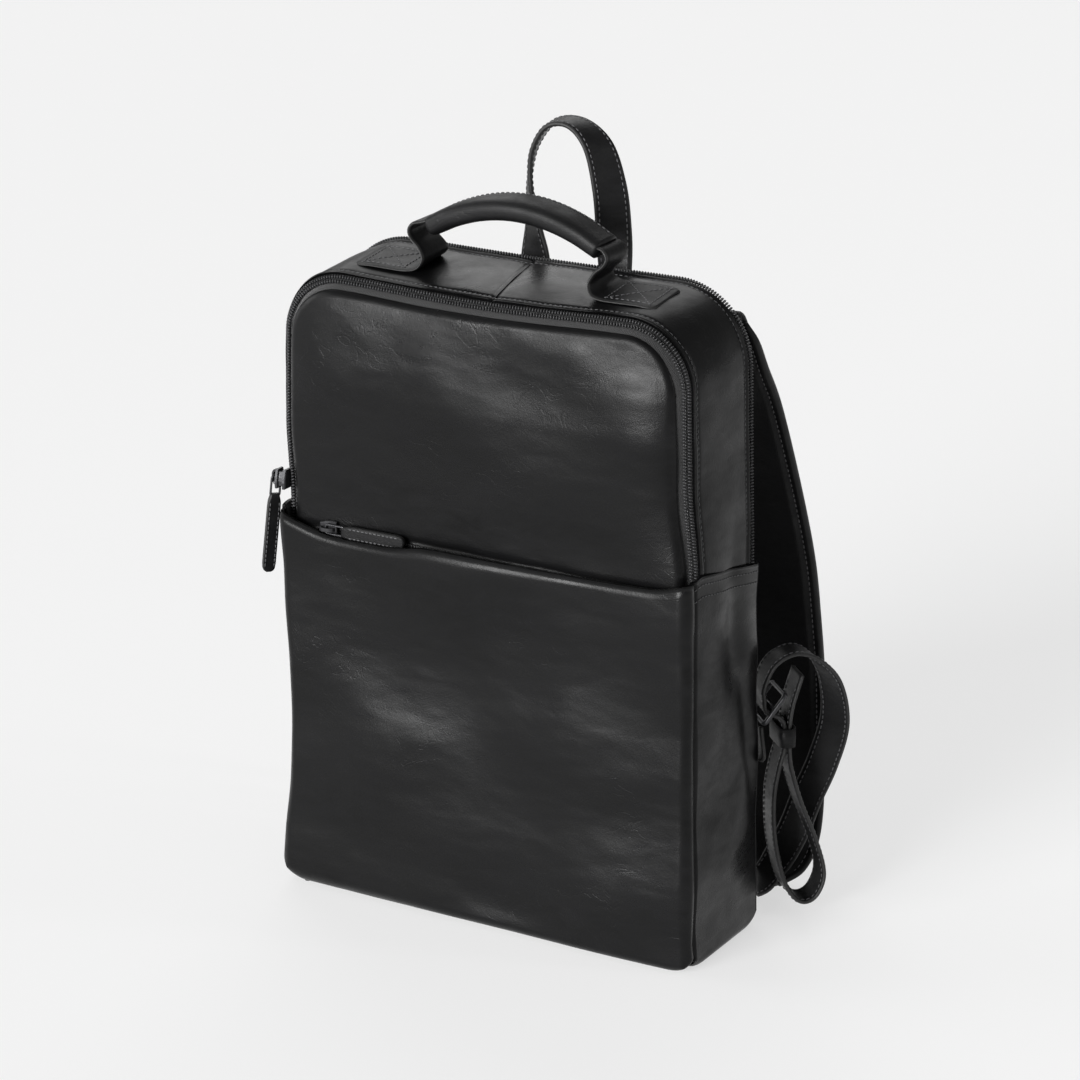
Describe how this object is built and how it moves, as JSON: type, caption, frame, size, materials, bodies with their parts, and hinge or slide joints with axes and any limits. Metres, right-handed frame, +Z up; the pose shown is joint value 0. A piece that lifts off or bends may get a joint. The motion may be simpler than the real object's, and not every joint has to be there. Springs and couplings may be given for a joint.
{
  "type": "leather backpack",
  "caption": "Slim box-shaped leather backpack with zipped front and back, an open slip pocket, a carry handle, a hanging loop and padded shoulder straps.",
  "frame": {"origin": "middle of the flat base, on the floor the bag stands on", "axes": "+Z up, -Y towards the front pocket, +X to the right of someone facing the front"},
  "size_m": [0.3662, 0.1791, 0.4859],
  "materials": {
    "leather": "smooth full-grain, soft sheen, cloudy black",
    "dark_leather": "smooth, folded and sewn",
    "padding": "matt woven cover over foam",
    "lining": "plain weave",
    "zip_tape": "herringbone tape",
    "zip_coil": "satin nylon coil",
    "metal": "black satin",
    "board": "fibre board"
  },
  "bodies": {
    "shell": {"gusset_left": "leather", "gusset_right": "leather", "side_panel_left": "leather", "side_panel_right": "leather", "base_panel": "leather", "base_stiffener": "board", "front_pocket": "leather", "front_lower_panel": "leather", "pocket_zip_tape": "zip_tape", "pocket_zip_coil": "zip_coil", "front_zip_tape_outer": "zip_tape", "front_zip_coil_outer": "zip_coil", "back_zip_tape_outer": "zip_tape", "back_zip_coil_outer": "zip_coil", "back_panel_lower": "padding", "back_liner_lower": "lining", "compartment_divider": "lining", "laptop_sleeve": "lining", "handle_patch_left": "leather", "handle_patch_right": "leather", "strap_anchor_left": "leather", "strap_anchor_right": "leather"},
    "front_flap": {"front_flap_panel": "leather", "front_flap_lining": "lining", "front_zip_tape_inner": "zip_tape", "front_zip_coil_inner": "zip_coil"},
    "back_flap": {"back_panel_upper": "padding", "back_liner_upper": "lining", "back_zip_tape_inner": "zip_tape", "back_zip_coil_inner": "zip_coil", "hang_loop_patch": "leather"},
    "handle": {"handle_tab_left": "leather", "handle_tab_right": "leather", "handle_grip": "leather", "handle_core": "padding"},
    "hang_loop": {"hang_loop": "leather"},
    "strap_yoke_left": {"strap_yoke_left": "leather"},
    "strap_upper_left": {"strap_pad_upper_left": "padding"},
    "strap_lower_left": {"strap_pad_lower_left": "padding", "strap_riser_left": "leather", "strap_tail_left": "leather"},
    "buckle_left": {"strap_buckle_left": "metal"},
    "keeper_left": {"strap_keeper_left": "leather"},
    "strap_yoke_right": {"strap_yoke_right": "leather"},
    "strap_upper_right": {"strap_pad_upper_right": "padding"},
    "strap_lower_right": {"strap_pad_lower_right": "padding", "strap_riser_right": "leather", "strap_tail_right": "leather"},
    "buckle_right": {"strap_buckle_right": "metal"},
    "keeper_right": {"strap_keeper_right": "leather"},
    "front_slider": {"front_slider": "metal"},
    "front_pull": {"front_pull_link": "metal", "front_pull_tab": "dark_leather"},
    "back_slider": {"back_slider": "metal"},
    "back_pull": {"back_pull_link": "metal", "back_pull_tab": "dark_leather"},
    "pocket_slider": {"pocket_slider": "metal"},
    "pocket_pull": {"pocket_pull_link": "metal", "pocket_pull_tab": "dark_leather"}
  },
  "joints": [
    {"name": "front_flap_open", "type": "hinge", "parent": "shell", "child": "front_flap", "pos_m": [0, -0.043, 0.2455], "axis": [1, 0, 0], "range_deg": [0, 70]},
    {"name": "back_flap_open", "type": "hinge", "parent": "shell", "child": "back_flap", "pos_m": [0, 0.046, 0.2455], "axis": [-1, 0, 0], "range_deg": [0, 22]},
    {"name": "handle_lean", "type": "hinge", "parent": "shell", "child": "handle", "pos_m": [0, 0, 0.4175], "axis": [1, 0, 0], "range_deg": [-18, 18], "stiffness_Nm_per_rad": 0.5},
    {"name": "hang_loop_lean", "type": "hinge", "parent": "back_flap", "child": "hang_loop", "pos_m": [0, 0.0485, 0.401], "axis": [-1, 0, 0], "range_deg": [-8, 50], "stiffness_Nm_per_rad": 0.1},
    {"name": "strap_yoke_left_turn", "type": "hinge", "parent": "back_flap", "child": "strap_yoke_left", "pos_m": [-0.098, 0.0463, 0.388], "axis": [-1, 0, 0], "range_deg": [-15.5, 0]},
    {"name": "strap_left_swing", "type": "hinge", "parent": "strap_yoke_left", "child": "strap_upper_left", "pos_m": [-0.098, 0.0565, 0.379], "axis": [1, 0, 0], "range_deg": [0, 20]},
    {"name": "strap_left_knee", "type": "hinge", "parent": "strap_upper_left", "child": "strap_lower_left", "pos_m": [-0.115, 0.1088, 0.2155], "axis": [1, 0, 0], "range_deg": [-40, 0]},
    {"name": "buckle_left_turn", "type": "hinge", "parent": "strap_lower_left", "child": "buckle_left", "pos_m": [-0.14478, 0.05478, 0.141], "axis": [-0.7071, -0.7071, 0], "range_deg": [-5, 5]},
    {"name": "keeper_left_slide", "type": "slide", "parent": "strap_lower_left", "child": "keeper_left", "axis": [0, 0, 1], "range_m": [-0.003, 0.002]},
    {"name": "strap_yoke_right_turn", "type": "hinge", "parent": "back_flap", "child": "strap_yoke_right", "pos_m": [0.098, 0.0463, 0.388], "axis": [-1, 0, 0], "range_deg": [-15.5, 0]},
    {"name": "strap_right_swing", "type": "hinge", "parent": "strap_yoke_right", "child": "strap_upper_right", "pos_m": [0.098, 0.0565, 0.379], "axis": [1, 0, 0], "range_deg": [0, 20]},
    {"name": "strap_right_knee", "type": "hinge", "parent": "strap_upper_right", "child": "strap_lower_right", "pos_m": [0.115, 0.1088, 0.2155], "axis": [1, 0, 0], "range_deg": [-40, 0]},
    {"name": "buckle_right_turn", "type": "hinge", "parent": "strap_lower_right", "child": "buckle_right", "pos_m": [0.14478, 0.05478, 0.141], "axis": [0.7071, -0.7071, 0], "range_deg": [-5, 5]},
    {"name": "keeper_right_slide", "type": "slide", "parent": "strap_lower_right", "child": "keeper_right", "axis": [0, 0, 1], "range_m": [-0.003, 0.002]},
    {"name": "front_slider_run", "type": "slide", "parent": "shell", "child": "front_slider", "axis": [0, 0, 1], "range_m": [0, 0.085]},
    {"name": "front_pull_swing", "type": "hinge", "parent": "front_slider", "child": "front_pull", "pos_m": [-0.1495, -0.0365, 0.264], "axis": [0, 1, 0], "range_deg": [0, 100]},
    {"name": "back_slider_run", "type": "slide", "parent": "shell", "child": "back_slider", "axis": [0, 0, 1], "range_m": [0, 0.095]},
    {"name": "back_pull_swing", "type": "hinge", "parent": "back_slider", "child": "back_pull", "pos_m": [-0.1495, 0.0365, 0.252], "axis": [0, 1, 0], "range_deg": [0, 100]},
    {"name": "pocket_slider_run", "type": "slide", "parent": "shell", "child": "pocket_slider", "axis": [1, 0, 0], "range_m": [0, 0.185]},
    {"name": "pocket_pull_swing", "type": "hinge", "parent": "pocket_slider", "child": "pocket_pull", "pos_m": [-0.108, -0.045, 0.2395], "axis": [0, 0, 1], "range_deg": [-60, 0]}
  ],
  "couplings": [
    {"joint": "strap_yoke_left_turn", "follows": "back_flap_open", "ratio": -0.7},
    {"joint": "strap_left_knee", "follows": "strap_left_swing", "ratio": -2},
    {"joint": "strap_yoke_right_turn", "follows": "back_flap_open", "ratio": -0.7},
    {"joint": "strap_right_knee", "follows": "strap_right_swing", "ratio": -2}
  ]
}
